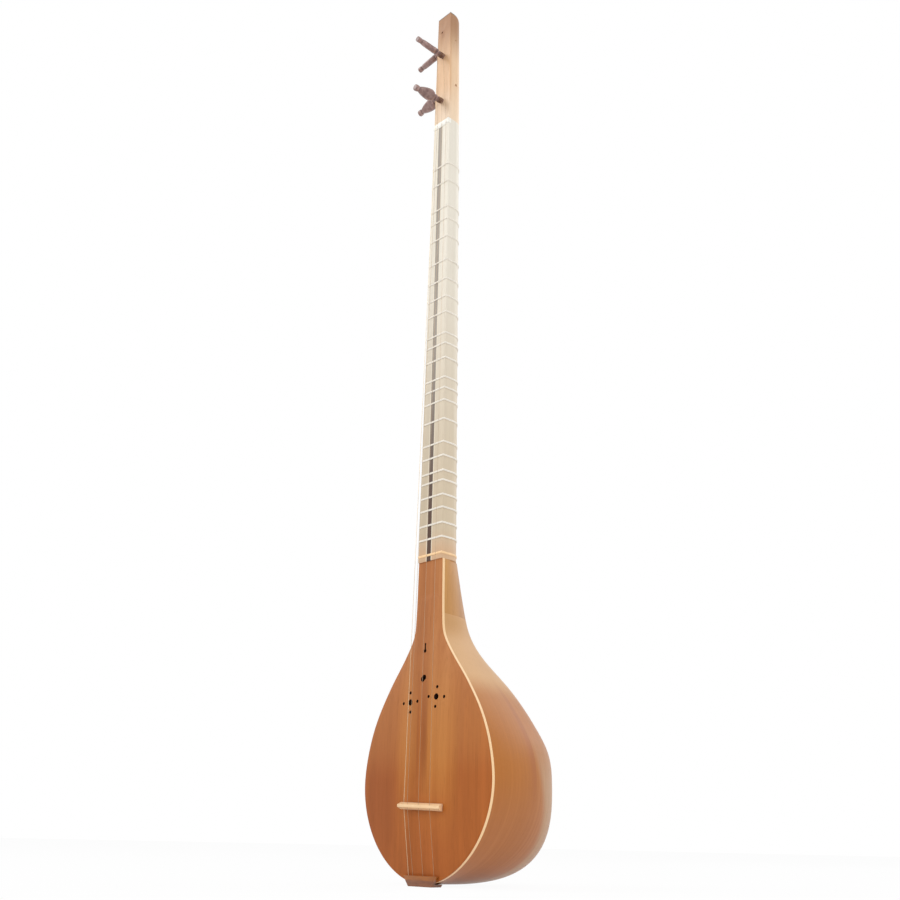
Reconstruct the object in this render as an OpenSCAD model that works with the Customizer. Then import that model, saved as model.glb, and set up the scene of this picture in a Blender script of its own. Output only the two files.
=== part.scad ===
// Long-necked lute with a pear-shaped staved bowl, tied gut frets and four friction pegs.
// Millimetres. The front faces -Y, the neck rises along +Z and +X is to the right seen from the front.
// The origin is the middle of the tailpiece's foot, in the plane of the soundboard's edge.

/* [Body] */
// Greatest width of the bowl
body_w = 147; // [142:1:152]
// Greatest depth of the bowl behind the soundboard's edge
body_depth = 123; // [116:1:130]
// Thickness of the bowl's staves
stave_t = 3; // [2.5:0.25:3.5]
// How far the soundboard arches forward at its middle
dome = 4; // [2:0.5:5]
// Height of the joint between the bowl's throat and the neck
joint_z = 255; // [253:0.5:257]
// Diameter of the large sound holes
hole_d = 5; // [4.2:0.2:5.4]
// Diameter of the small sound holes
small_hole_d = 2.6; // [2:0.2:3.2]

/* [Strings] */
// Speaking length, from the bridge's crest to the nut's crown
scale_len = 650; // [645:1:655]
// Height of the bridge's crest above the tailpiece's foot
bridge_z = 57.5; // [55:0.5:60]
// Diameter of the three plain strings
string_d = 0.25; // [0.2:0.05:0.4]
// Diameter of the bass string
bass_d = 0.35; // [0.3:0.05:0.5]

/* [Neck] */
// Width of the neck at the body
neck_w = 28.8; // [27.6:0.2:30]
// Width of the neck at the nut
nut_w = 21.6; // [20.6:0.2:22.6]
// Width of the peg head's top
head_w = 18; // [17:0.2:19]
// Height of the peg head's top
head_top = 845.5; // [843:0.5:848]
// Radial play between a tied fret and the neck
fret_play = 0.05; // [0.03:0.01:0.08]

/* [Pegs] */
// Diameter of a peg's shaft
shaft_d = 5.2; // [4.8:0.1:5.6]
// Diameter of the holes that the pegs turn in
peg_hole_d = 5.3; // [4.9:0.1:5.7]
// Downward slant of the two side pegs, in degrees
side_slant = 4.5; // [3:0.5:7]
// Diameter of the hole that the instrument hangs by
hang_hole_d = 2.4; // [2:0.2:3]

/* [Hidden] */
eps = 0.01;
round_fn = 48;

// Bowl: the lowest point, the height of the greatest width and of the greatest depth
tail_z = 1.4;
belly_z = 76;
deep_z = 84;
bottom_z = 2;
throat_z = 208.5;
round_width = 1.9;
round_depth = 3.6;
section_power = 2.15;
// Mould stations above the belly for a bowl of 147 by 123: height, half width, depth
STATIONS = [
    [76, 73.5, 123], [102, 69.9, 121], [126, 61.1, 105.5], [151, 45.7, 85.8],
    [176, 26.7, 59.5], [191, 17.8, 48], [206, 15.6, 40.5], [255, 14.5, 27.2]
];
STAVES = 7;
stave_steps = 4;
low_rings = 11;
mid_rings = 15;
top_rings = 4;

// Soundboard edge: a lip over the binding, which lies in a rebate
lip_t = 0.5;
rim_y = 3.2;
binding_w = 1.2;
board_steps = 8;
bar_steps = 28;
dome_start = 8;
dome_end = 225;

// Neck: front of the fingerboard, thickness of its strips and straight height of the sides
front_y = -0.8;
strip_t = 2.4;
core_y = front_y + strip_t;
side_joint = 11;
side_nut = 9;
side_top = 8.6;
nut_t = 5.5;
nut_z = bridge_z + scale_len;
head_z = nut_z + 1.5;
board_top = head_z - nut_t;
cap_t = 0.8;
top_round = 4;
top_drop = 3.4;
ring_z = 260;

// Dark strip along the fingerboard, which lies a little left of the middle
strip_x = -1.6;
strip_w = 5.2;
line_w = 0.8;

// Frets: distance above the nut in cents
FRETS = [
    145, 205, 295, 340, 405, 495, 570, 640, 705, 795, 840, 905,
    995, 1045, 1105, 1200, 1320, 1395, 1480, 1537, 1624, 1705, 1805, 1902
];
fret_w = 2;
fret_t = 0.7;

// Strings from right to left: place at the tailpiece, bridge and nut
STRING_X = [[14.8, 14.8, 7.6], [2.5, 2, 1.2], [-9, -10.8, -4.8], [-14, -14.8, -7.6]];
tail_y = -1.3;
crest_y = -7.8;
crown_y = -2.2;
bridge_skew = 2.4;

// Pegs: true for the front face, then across place, height, turn of the flat head, downward slant,
// diameter of the bore's small exit on the far side and reach of the tip from the head's face
PEGS = [
    ["peg_front_high", true, -1, 793, 129, 0, 0, 36],
    ["peg_front_low", true, -1, 736, 41, 7, 0, 37],
    ["peg_side_high", false, 7.2, 811.5, 35, side_slant, 1.4, 37],
    ["peg_side_low", false, 8.2, 753.8, -30, side_slant, 3, 35]
];
exit_len = 3;
hang_x = -3.4;
hang_z = 826;

// Windings: the wire that is wound on each peg's shaft
wind_turns = 6;
wind_pitch = 0.7;
wind_start = 1.6;
wind_d = 0.35;
wind_r = shaft_d / 2 + wind_d / 2 + 0.04;
string_gap = 0.15;

FRET_NAMES = [for (i = [1:len(FRETS)]) str("fret_", i < 10 ? "0" : "", i)];
STAVE_NAMES = [for (i = [1:STAVES]) str("stave_", i)];
STRING_NAMES = ["string_1", "string_2", "string_3", "string_4"];
WINDING_NAMES = ["winding_1", "winding_2", "winding_3", "winding_4"];

// ---- curves -------------------------------------------------------------------------------

function unit(v) = v / norm(v);
function mix(a, b, t) = a + (b - a) * t;
function signed_pow(v, p) = sign(v) * pow(abs(v), p);

// Smooth curve through a column of the stations, level at the first one
function slope(i, c) =
    i == 0 ? 0
    : let (j = min(i + 1, len(STATIONS) - 1))
      (STATIONS[j][c] - STATIONS[i - 1][c]) / (STATIONS[j][0] - STATIONS[i - 1][0]);
function station(z, c) =
    let (
        i = min(len([for (s = STATIONS) if (s[0] <= z) 1]), len(STATIONS) - 1) - 1,
        h = STATIONS[i + 1][0] - STATIONS[i][0],
        t = (z - STATIONS[i][0]) / h
    )
    (2 * t * t * t - 3 * t * t + 1) * STATIONS[i][c] + (t * t * t - 2 * t * t + t) * h * slope(i, c)
    + (3 * t * t - 2 * t * t * t) * STATIONS[i + 1][c] + (t * t * t - t * t) * h * slope(i + 1, c);

// Below the belly the bowl rounds off like a superellipse
function rounded(z, top, power) =
    pow(1 - pow(max(0, (top - z) / (top - tail_z)), power), 1 / power);
function half_w(z) = body_w / 147 * (z < belly_z ? 73.5 * rounded(z, belly_z, round_width) : station(z, 1));
function depth(z) = body_depth / 123 * station(z, 2);

// Heights of the rings that the bowl's surfaces are built on
s_first = pow((bottom_z - tail_z) / (belly_z - tail_z), 1 / 2.6);
LOW_Z = [for (i = [0:low_rings - 1]) tail_z + (belly_z - tail_z) * pow(mix(s_first, 1, i / low_rings), 2.6)];
MID_Z = [for (i = [0:mid_rings]) mix(belly_z, throat_z, i / mid_rings)];
TOP_Z = [for (i = [1:top_rings]) mix(throat_z, joint_z, i / top_rings)];
BOWL_Z = concat(LOW_Z, MID_Z);
BODY_Z = concat(BOWL_Z, TOP_Z);

// Point on the bowl at a height, for k from 0 at the right rim to 1 at the left rim.
// Each meridian below the belly has a roundness between those of the rim and of the middle.
function shell(z, k) =
    let (
        low = z < belly_z,
        d = low ? body_depth : depth(z),
        w = low ? body_w / 2 : half_w(z),
        edge = low ? rounded(z, belly_z, round_width) : 1,
        first = asin(pow(rim_y / (d * edge), section_power / 2)),
        t = mix(first, 180 - first, k),
        out = cos(t) / cos(first),
        back = max(0, 1 - out * out),
        g = low ? rounded(z, mix(belly_z, deep_z, back), mix(round_width, round_depth, back)) : 1
    )
    [w * g * signed_pow(out, 2 / section_power), d * g * pow(sin(t), 2 / section_power), z];

// The matching point on the inside of the staves
function shell_inward(z, k) =
    let (
        h = min(0.5, (z - tail_z) * 0.3),
        up = shell(z + h, k) - shell(z - h, k),
        round = shell(z, min(1, k + 0.004)) - shell(z, max(0, k - 0.004))
    )
    unit(cross(up, round));
function shell_inside(z, k) =
    let (
        p = shell(z, k),
        n = shell_inward(z, k),
        q = z <= BOWL_Z[0] ? p + [0, 0, stave_t]
            : z >= throat_z ? p + stave_t * unit([n.x, n.y, 0])
            : p + stave_t * n
    )
    [q.x, max(rim_y, q.y), q.z];

function neck_hw(z) = mix(neck_w, nut_w, (z - joint_z) / (head_z - joint_z)) / 2;
function neck_side(z) = mix(side_joint, side_nut, (z - joint_z) / (head_z - joint_z));
function head_hw(z) = mix(nut_w, head_w, (z - head_z) / (head_top - head_z)) / 2;
function head_side(z) =
    mix(side_nut, side_top, (z - head_z) / (head_top - head_z))
    - top_drop * (1 - sqrt(1 - pow(max(0, (z - head_top + top_round) / top_round), 2)));
function fret_z(i) = bridge_z + scale_len * pow(2, -FRETS[i] / 1200);
function rise(z, x) =
    let (u = min(1, max(0, (z - dome_start) / (dome_end - dome_start))), a = half_w(z))
    dome * sqrt(sin(180 * u)) * max(0, 1 - pow(x / a, 2));

// ---- building blocks ----------------------------------------------------------------------

// A closed solid through rings of equal length, which run anticlockwise seen from its far end.
// The triangles of its two flat ends are given as places in a ring, in the same sense. The closing
// side is split the other way, so that two staves meet on the same triangles.
function fan_cap(n) = [for (j = [1:n - 2]) [0, j, j + 1]];
function strip_cap(n) = [for (j = [0:n / 2 - 2]) each [[j, j + 1, n - 2 - j], [j, n - 2 - j, n - 1 - j]]];
module loft(rings, cap) {
    n = len(rings[0]);
    m = len(rings);
    points = [for (r = rings) each r];
    sides = [for (i = [0:m - 2], j = [0:n - 1])
        let (a = i * n + j, b = i * n + (j + 1) % n)
        each j < n - 1 ? [[a, b + n, b], [a, a + n, b + n]] : [[a, a + n, b], [a + n, b + n, b]]];
    last = (m - 1) * n;
    ends = [for (t = cap) each [t, [t.x + last, t.z + last, t.y + last]]];
    polyhedron(points, concat(sides, ends));
}

// A front-view outline given as [x, z], made solid between two depths
module plate(y0, y1) {
    translate([0, y1, 0]) rotate([90, 0, 0]) linear_extrude(y1 - y0) children();
}

// A side-view outline given as [y, z], made solid across the whole width
module side_plate(w) {
    rotate([90, 0, 90]) translate([0, 0, -w / 2]) linear_extrude(w) children();
}

// Round-backed bar through rings, each given as height, front face, half width and side's height
module round_backed(rings) {
    loft([for (r = rings) bar_ring(r[0], r[1], r[2], r[3])], fan_cap(bar_steps + 3));
}
function bar_ring(z, y, hw, side) = concat(
    [[-hw, y, z], [hw, y, z]],
    [for (j = [0:bar_steps]) let (t = 180 * j / bar_steps)
        [hw * cos(t), front_y + side + hw * sin(t), z]]
);

// Outline of the neck's section, grown by a margin
module neck_section(z, grow) {
    hw = neck_hw(z) + grow;
    c = front_y + neck_side(z);
    union() {
        translate([-hw, front_y - grow]) square([2 * hw, c - front_y + grow]);
        intersection() {
            translate([0, c]) circle(r = hw, $fn = 2 * round_fn);
            translate([-hw - 1, c - 1]) square([2 * hw + 2, hw + 2]);
        }
    }
}

// Band round the neck
module neck_band(z, w, t, play) {
    translate([0, 0, z - w / 2]) linear_extrude(w) difference() {
        neck_section(z, play + t);
        neck_section(z, play);
    }
}

// Ring of a wire round point i of its path, square to the path there
function wire_ring(path, i, r, n, ref) =
    let (
        before = unit(path[max(1, i)] - path[max(0, i - 1)]),
        after = unit(path[min(len(path) - 1, i + 1)] - path[min(len(path) - 2, i)]),
        along = unit(before + after),
        out = unit(ref - along * (ref * along)),
        up = cross(along, out)
    )
    [for (s = [0:n - 1]) path[i] + r * (cos(360 * s / n) * out + sin(360 * s / n) * up)];

// ---- body ---------------------------------------------------------------------------------

module stave(i) {
    ks = [for (j = [0:stave_steps]) (i + j / stave_steps) / STAVES];
    rings = [for (z = BOWL_Z)
        concat([for (k = ks) shell(z, k)], [for (j = [stave_steps:-1:0]) shell_inside(z, ks[j])])];
    color("burlywood") loft(rings, strip_cap(2 * stave_steps + 2));
}

// Solid throat that the neck is let into, with a tongue under the soundboard
module throat_block() {
    n = 28;
    rings = [for (z = concat([throat_z], TOP_Z)) [for (j = [0:n]) shell(z, j / n)]];
    tongue = [18, 20, 20];
    color("peru") difference() {
        union() {
            loft(rings, fan_cap(n + 1));
            translate([-tongue.x / 2, rim_y, throat_z - tongue.z]) cube(tongue + [0, 0, 1]);
        }
        translate([0, tenon_y, joint_z - tenon_len]) cylinder(h = tenon_len + 1, r = tenon_r + 0.05, $fn = round_fn);
    }
}
tenon_r = 6;
tenon_y = 12;
tenon_len = 30;

module tail_block() {
    n = 28;
    foot = [for (j = [0:n]) let (p = shell(bottom_z, j / n)) [p.x, p.y]];
    color("saddlebrown") translate([0, 0, bottom_z]) {
        linear_extrude(5) polygon(foot);
        linear_extrude(22) intersection() {
            polygon(foot);
            translate([-30, 0]) square([60, 22]);
        }
    }
}

// Half width of the soundboard behind the rebate that holds the binding
function inset_hw(z) =
    let (h = min(0.5, (z - tail_z) * 0.3), grade = (half_w(z + h) - half_w(z - h)) / (2 * h))
    max(0.6 * half_w(z), half_w(z) - binding_w * sqrt(1 + grade * grade));

// End of the soundboard: its right corner, its middle and its left corner
function board_cap(m) = concat(
    [[m, m + 1, m + 2], [m - 1, m, m + 2], [m - 1, m + 2, m + 3], [m - 1, m + 3, m + 4]],
    [for (j = [1:m - 2]) each [[j, j + 1, 2 * m + 2 - j], [j, 2 * m + 2 - j, 2 * m + 3 - j]]],
    [[1, 2 * m + 2, 2 * m + 3], [1, 2 * m + 3, 2 * m + 4], [0, 1, 2 * m + 4], [0, 2 * m + 4, 2 * m + 5]]
);

module soundboard() {
    rings = [for (z = BODY_Z)
        let (a = half_w(z), b = inset_hw(z))
        concat(
            [for (j = [0:board_steps]) let (x = mix(-a, a, j / board_steps)) [x, -rise(z, x), z]],
            [[a, lip_t, z], [b, lip_t, z]],
            [for (j = [board_steps:-1:0])
                let (x = mix(-b, b, j / board_steps)) [x, rim_y - rise(z, x) + rise(z, b), z]],
            [[-b, lip_t, z], [-a, lip_t, z]]
        )];
    color("sienna") difference() {
        loft(rings, board_cap(board_steps));
        flower(-15.6, 138, 2);
        flower(15, 140.3, -5);
        sound_hole(-1.3, 155.5, hole_d - 0.5);
        sound_hole(0.3, 156.7, hole_d - 0.5);
        sound_hole(0, 178.3, 3.2);
        sound_hole(0, 183.9, 1.8);
        translate([-0.75, -10, 178.3]) cube([1.5, 20, 5.6]);
    }
}

module sound_hole(x, z, d) {
    translate([x, 10, z]) rotate([90, 0, 0]) cylinder(h = 20, d = d, $fn = 24);
}

// One large hole with four small ones round it
module flower(x, z, turn) {
    sound_hole(x, z, hole_d);
    for (q = [0:3]) sound_hole(x + 8.7 * cos(90 * q + turn), z + 7.7 * sin(90 * q + turn), small_hole_d);
}

module binding(side) {
    outer = [for (z = BODY_Z) [side * half_w(z), z]];
    inner = [for (i = [len(BODY_Z) - 1:-1:0]) [side * inset_hw(BODY_Z[i]), BODY_Z[i]]];
    color("bisque") plate(lip_t, rim_y) polygon(concat(outer, inner));
}

// ---- bridge, nut and tailpiece --------------------------------------------------------------

bridge_foot_y = -3.25;
bridge_x = 1.7;
module bridge() {
    foot_w = 46;
    top_w = 48.5;
    base_t = 5.4;
    crest_t = 2;
    top_y = crest_y - 0.25;
    color("cornsilk") difference() {
        translate([bridge_x, 0, bridge_z]) rotate([0, bridge_skew, 0]) intersection() {
            translate([0, 0, -base_t / 2]) linear_extrude(base_t)
                polygon([[-foot_w / 2, bridge_foot_y], [-foot_w / 2 + 8, bridge_foot_y],
                    [-foot_w / 2 + 10, bridge_foot_y - 0.7], [foot_w / 2 - 10, bridge_foot_y - 0.7],
                    [foot_w / 2 - 8, bridge_foot_y], [foot_w / 2, bridge_foot_y],
                    [top_w / 2, top_y], [-top_w / 2, top_y]]);
            side_plate(top_w + 2)
                polygon([[bridge_foot_y, -base_t / 2], [bridge_foot_y - 1.5, -base_t / 2],
                    [top_y, -crest_t / 2], [top_y, crest_t / 2],
                    [bridge_foot_y - 1.5, base_t / 2], [bridge_foot_y, base_t / 2]]);
        }
        for (s = STRING_X) translate([s[1], crest_y, bridge_z - 6]) cylinder(h = 12, d = bass_d + 0.1, $fn = 24);
    }
}

module nut() {
    w = nut_w + 0.2;
    top_y = crown_y - 0.2;
    crown_r = 7;
    color("ivory") difference() {
        intersection() {
            translate([-w / 2, top_y, board_top]) cube([w, core_y - top_y, nut_t]);
            translate([-w / 2, top_y + crown_r, nut_z]) rotate([0, 90, 0])
                cylinder(h = w, r = crown_r, $fn = 2 * round_fn);
        }
        for (s = STRING_X) translate([s[2], crown_y, board_top - 1])
            cylinder(h = nut_t + 2, d = bass_d + 0.1, $fn = 24);
    }
}

tail_lip_y = -2.4;
tail_lip_z = 7.6;
module tailpiece() {
    color("dimgray") difference() {
        union() {
            plate(tail_lip_y, 0) polygon([[-13, 0], [13, 0], [19, tail_lip_z], [-19, tail_lip_z]]);
            plate(0, 8) polygon([[-13, 0], [13, 0], [14.5, bottom_z - 0.02], [-14.5, bottom_z - 0.02]]);
        }
        for (s = STRING_X) translate([s[0], tail_y, 2.5]) cylinder(h = 10, d = 1, $fn = 24);
    }
}

// ---- neck and head --------------------------------------------------------------------------

head_tenon_r = 4;
head_tenon_len = 18;
head_tenon_y = 9;

module neck() {
    color("wheat") difference() {
        union() {
            round_backed([[joint_z, core_y, neck_w / 2, side_joint], [head_z, core_y, nut_w / 2, side_nut]]);
            translate([0, tenon_y, joint_z - tenon_len + 1]) cylinder(h = tenon_len, r = tenon_r, $fn = round_fn);
        }
        translate([0, head_tenon_y, head_z - head_tenon_len - 1])
            cylinder(h = head_tenon_len + 2, r = head_tenon_r + 0.05, $fn = round_fn);
    }
}

module neck_ring() {
    color("bisque") neck_band(ring_z, 2, 0.6, 0.02);
}

// Strip of the fingerboard between two edges, each given at the joint and at the nut
module board_strip(x0_low, x1_low, x0_high, x1_high) {
    plate(front_y, core_y) polygon([[x0_low, joint_z], [x1_low, joint_z], [x1_high, board_top], [x0_high, board_top]]);
}

module fingerboard_left() {
    x = strip_x - strip_w / 2 - line_w;
    color("antiquewhite") board_strip(-neck_hw(joint_z), x, -neck_hw(board_top), x);
}

module fingerboard_right() {
    x = strip_x + strip_w / 2 + line_w;
    color("antiquewhite") board_strip(x, neck_hw(joint_z), x, neck_hw(board_top));
}

module centre_strip() {
    x = strip_w / 2;
    color("saddlebrown") board_strip(strip_x - x, strip_x + x, strip_x - x, strip_x + x);
}

module centre_lines() {
    color("cornsilk") for (s = [-1, 1]) {
        x = strip_x + s * (strip_w + line_w) / 2;
        board_strip(x - line_w / 2, x + line_w / 2, x - line_w / 2, x + line_w / 2);
    }
}

module peg_head() {
    color("tan") difference() {
        union() {
            round_backed([for (z = [head_z, head_top - top_round, head_top - 2, head_top - 1.4, head_top - cap_t])
                [z, front_y, head_hw(z), head_side(z)]]);
            translate([0, head_tenon_y, head_z - head_tenon_len])
                cylinder(h = head_tenon_len + 1, r = head_tenon_r, $fn = round_fn);
        }
        for (p = PEGS) on_peg(p) {
            through = p[1] ? 30 : peg_reach(p) + 0.4;
            translate([0, 0, -through]) cylinder(h = through + 2, d = peg_hole_d, $fn = round_fn);
            if (p[6] > 0) translate([0, 0, -30]) cylinder(h = 30, d = p[6], $fn = 24);
        }
        translate([hang_x, 30, hang_z]) rotate([90, 0, 0]) cylinder(h = 40, d = hang_hole_d, $fn = round_fn);
    }
}

module head_cap() {
    color("dimgray") round_backed([for (z = [head_top - cap_t, head_top - cap_t / 3, head_top])
        [z, front_y, head_hw(z), head_side(z)]]);
}

module fret(i) {
    color("cornsilk") neck_band(fret_z(i), fret_w, fret_t, fret_play);
}

// ---- pegs, windings and strings ---------------------------------------------------------------

// Places a piece whose axis is +Z, with the head's face at z = 0 and the peg's tip at +Z
module on_peg(p) {
    if (p[1]) translate([p[2], front_y, p[3]]) rotate([90 + p[5], 0, 0]) children();
    else translate(side_face(p)) rotate([0, -90 - p[5], 0]) children();
}
function side_face(p) = [-head_hw(p[3]), p[2], p[3] - head_hw(p[3]) * tan(p[5])];
function peg_reach(p) =
    (p[1] ? head_side(p[3]) + head_hw(p[3]) - 0.4 : 2 * head_hw(p[3]) - exit_len) / cos(p[5]);

// Flat head of a peg: a leaf that is widest near its root, then a waist and a small end block
leaf_r = 5.8;
waist_r = 2.1;
block_r = 3.3;
block_len = 5;
leaf_t = 6.4;
peg_root = 10.5;
function leaf(t) = waist_r + (leaf_r - waist_r) * (t < 0.3 ? sin(300 * t) : pow(cos(90 * (t - 0.3) / 0.7), 0.8));

module peg(i) {
    p = PEGS[i];
    tip = p[7];
    leaf_len = tip - peg_root - block_len;
    n = 12;
    edge = 1.2;
    color("rosybrown") on_peg(p) rotate([0, 0, p[4]]) {
        translate([0, 0, -peg_reach(p)]) cylinder(h = peg_reach(p) + peg_root + 1, d = shaft_d, $fn = round_fn);
        translate([0, 0, peg_root - 2]) cylinder(h = 2.2, r1 = 3, r2 = 3.6, $fn = round_fn);
        intersection() {
            translate([0, 0, peg_root]) rotate_extrude($fn = round_fn)
                polygon(concat([[0, 0]],
                    [for (j = [0:n]) [leaf(j / n), leaf_len * j / n]],
                    [[block_r, leaf_len + edge], [block_r, leaf_len + block_len - edge],
                        [block_r - 0.4, leaf_len + block_len - edge / 3],
                        [block_r - edge, leaf_len + block_len], [0, leaf_len + block_len]]));
            translate([-10, -leaf_t / 2, peg_root - 1]) cube([20, leaf_t, leaf_len + block_len + 2]);
        }
    }
}

// Points of a winding in its peg's own frame: a straight start, the turns and a straight end
function wind_at(a) = [wind_r * cos(a), wind_r * sin(a), wind_start + wind_pitch * a / 360];
WIND = let (
        turns = [for (i = [0:24 * wind_turns]) wind_at(15 * i)],
        n = len(turns)
    )
    concat([turns[0] + wind_d * unit(turns[0] - turns[1])], turns, [turns[n - 1] + wind_d * unit(turns[n - 1] - turns[n - 2])]);
// Least distance between points at least half a turn apart, less the wire
wind_gap = min([for (i = [0:len(WIND) - 1], j = [i + 12:1:len(WIND) - 1]) norm(WIND[i] - WIND[j])]) - wind_d;
echo("least gap between the turns of a winding, mm", wind_gap);

module winding(i) {
    color("silver") on_peg(PEGS[i])
        loft([for (m = [0:len(WIND) - 1]) wire_ring(WIND, m, wind_d / 2, 6, [WIND[m].x, WIND[m].y, 0])],
            fan_cap(6));
}

// Where a string leaves the head's face or edge, and where it meets the winding
function string_end(i) =
    let (p = PEGS[i], off = wind_r + wind_d / 2 + string_d / 2 + string_gap)
    p[1] ? [[p[2] + off, front_y - (wind_start + 1.4) * cos(p[5]), p[3] - (wind_start + 1.4) * sin(p[5])]]
    : let (f = side_face(p))
      [[f.x - 0.35, front_y - 0.3, p[3] - 11], [f.x - 3.2, p[2] - off, f.z - 0.6]];

module string_wire(i) {
    s = STRING_X[i];
    route = concat(
        [[s[0], tail_y, 3], [s[0], tail_y, tail_lip_z + 0.6],
            [s[1], crest_y, bridge_z - s[1] * tan(bridge_skew)], [s[2], crown_y, nut_z]],
        string_end(i)
    );
    r = (i == 3 ? bass_d : string_d) / 2;
    color("silver") loft([for (m = [0:len(route) - 1]) wire_ring(route, m, r, 8, [1, 0, 0])], fan_cap(8));
}

// ---- assembly -------------------------------------------------------------------------------

neck();
neck_ring();
fingerboard_left();
fingerboard_right();
centre_strip();
centre_lines();
nut();
peg_head();
head_cap();
soundboard();
binding(-1);  // binding_left
binding(1);  // binding_right
throat_block();
tail_block();
bridge();
tailpiece();
for (i = [0:STAVES - 1]) stave(i);
for (i = [0:3]) peg(i);
for (i = [0:3]) winding(i);
for (i = [0:3]) string_wire(i);
for (i = [0:len(FRETS) - 1]) fret(i);
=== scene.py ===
"""Looks of a long-necked lute: staved bowl, drilled soundboard, gut frets, carved pegs and wire strings.

Lengths inside the modelling functions are in millimetres and become metres as a piece is made.
The front faces -Y, the neck rises along +Z and the origin is at the tailpiece's foot.
"""

import math

import bpy
from mathutils import Matrix, Vector


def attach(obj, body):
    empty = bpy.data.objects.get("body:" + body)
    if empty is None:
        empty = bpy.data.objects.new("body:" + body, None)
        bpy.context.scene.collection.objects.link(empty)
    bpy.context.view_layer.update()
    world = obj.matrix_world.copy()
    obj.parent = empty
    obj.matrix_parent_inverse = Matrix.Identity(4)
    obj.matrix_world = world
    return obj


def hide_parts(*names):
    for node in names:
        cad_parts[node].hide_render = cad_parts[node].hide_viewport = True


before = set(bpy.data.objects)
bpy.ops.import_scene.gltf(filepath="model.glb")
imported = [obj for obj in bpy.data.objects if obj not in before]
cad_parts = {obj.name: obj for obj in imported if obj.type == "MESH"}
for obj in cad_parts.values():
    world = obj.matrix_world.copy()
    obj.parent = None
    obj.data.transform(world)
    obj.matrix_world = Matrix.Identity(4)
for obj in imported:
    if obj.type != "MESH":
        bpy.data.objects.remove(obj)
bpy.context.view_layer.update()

bl_info = {
    "name": "Long-necked Lute",
    "version": (1, 0, 0),
    "blender": (4, 5, 0),
    "location": "View3D > Sidebar > Lute",
    "description": "Models the surfaces and finishes of a long-necked lute, piece by piece",
    "category": "Object",
}

ROOT_BODY = "body"
SMOOTH_ANGLE = math.radians(35)
MM = 0.001

# ---- sizes taken over from the frame, in millimetres ---------------------------------------------

SCALE_LENGTH = 650
BRIDGE_Z = 57.5
NUT_Z = BRIDGE_Z + SCALE_LENGTH
HEAD_Z = NUT_Z + 1.5
HEAD_TOP_Z = 845.5
JOINT_Z = 255
THROAT_Z = 208.5
RING_Z = 260
TAIL_Z = 1.4
FLOOR_OF_BOWL_Z = 2
# Heights below which the rim and the deepest line round off towards the tail, and their curves' powers
BELLY_Z = 76
DEEP_Z = 84
ROUND_WIDTH = 1.9
ROUND_DEPTH = 3.6
SECTION_POWER = 2.15
# Height, half width and depth of the bowl at the mould's stations above the belly
STATIONS = (
    (76, 73.5, 123), (102, 69.9, 121), (126, 61.1, 105.5), (151, 45.7, 85.8),
    (176, 26.7, 59.5), (191, 17.8, 48), (206, 15.6, 40.5), (255, 14.5, 27.2),
)
STAVE_COUNT = 7
STAVE_THICK = 3
# Steps across a stave's outer face, and the share of the stave's UV map that this face takes up
STAVE_STEPS = 14
STAVE_SHARE = STAVE_STEPS / (2 * STAVE_STEPS + 2)
RIM_Y = 3.2
LIP_THICK = 0.5
BINDING_THICK = 1.2
BOARD_THICK = 2.6
DOME = 4
DOME_START_Z = 8
DOME_END_Z = 225
FRONT_Y = -0.8
STRIP_THICK = 2.4
CORE_Y = FRONT_Y + STRIP_THICK
# The neck's half width and the depth of its straight sides, at the body and at the head
NECK_HALF = (14.4, 10.8)
NECK_SIDE = (11, 9)
HEAD_HALF_TOP = 9
HEAD_SIDE_TOP = 8.6
# Interval of each fret above the open string, in hundredths of a semitone
FRET_CENTS = (
    145, 205, 295, 340, 405, 495, 570, 640, 705, 795, 840, 905,
    995, 1045, 1105, 1200, 1320, 1395, 1480, 1537, 1624, 1705, 1805, 1902,
)
# Gap between the gut and the neck, which lets a fret slide
GUT_PLAY = 0.1
# Point of the neck's outline, on the front corner of the bass edge, where the turns of gut begin
TURNS_START = 37
# Place of each string across the instrument at the tailpiece, the bridge and the nut
STRING_X = ((14.8, 14.8, 7.6), (2.5, 2, 1.2), (-9, -10.8, -4.8), (-14, -14.8, -7.6))
TAIL_Y = -1.3
CREST_Y = -7.8
CROWN_Y = -2.2
BRIDGE_SKEW = math.radians(2.4)
TAIL_LIP_Z = 7.6
LOW_SLANT = math.radians(7)
SIDE_SLANT = math.radians(4.5)
# Each peg goes through the head's front or side face, at a place across that face and a height. Its leaf
# is turned by so many degrees, and its tip stands so far from the face
PEGS = (
    dict(name="peg_front_high", front=True, across=-1, height=793, turn=129, slant=0, tip=36),
    dict(name="peg_front_low", front=True, across=-1, height=736, turn=41, slant=LOW_SLANT, tip=37),
    dict(name="peg_side_high", front=False, across=7.2, height=811.5, turn=35, slant=SIDE_SLANT, tip=37),
    dict(name="peg_side_low", front=False, across=8.2, height=753.8, turn=-30, slant=SIDE_SLANT, tip=35),
)
# Wood left in the head beyond the end of a side peg and of a front peg
PEG_EXIT = 3
PEG_FLOOR = 0.4
SHAFT_RADIUS = 2.6
# Distance from the face and radius at the turned beads between a peg's shaft and its leaf
PEG_BEADS = (
    (7.9, SHAFT_RADIUS), (8.1, 2.95), (8.5, 3.15), (8.85, 2.95),
    (9.05, 2.8), (9.2, 3.25), (9.7, 3.6), (10.1, 3.4),
)
LEAF_ROOT = 10.5
LEAF_RADIUS = 5.8
LEAF_HALF_THICK = 3.15
# Share of the leaf's length at which it is widest
LEAF_WIDEST = 0.3
WAIST_RADIUS = 2.1
BLOCK_LENGTH = 5
BLOCK_RADIUS = 3.25
BLOCK_ROUNDING = 1.3
WIND_TURNS = 6
WIND_PITCH = 0.7
WIND_START = 1.6
WIND_DIAMETER = 0.35
WIND_RADIUS = SHAFT_RADIUS + WIND_DIAMETER / 2 + 0.04
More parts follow.
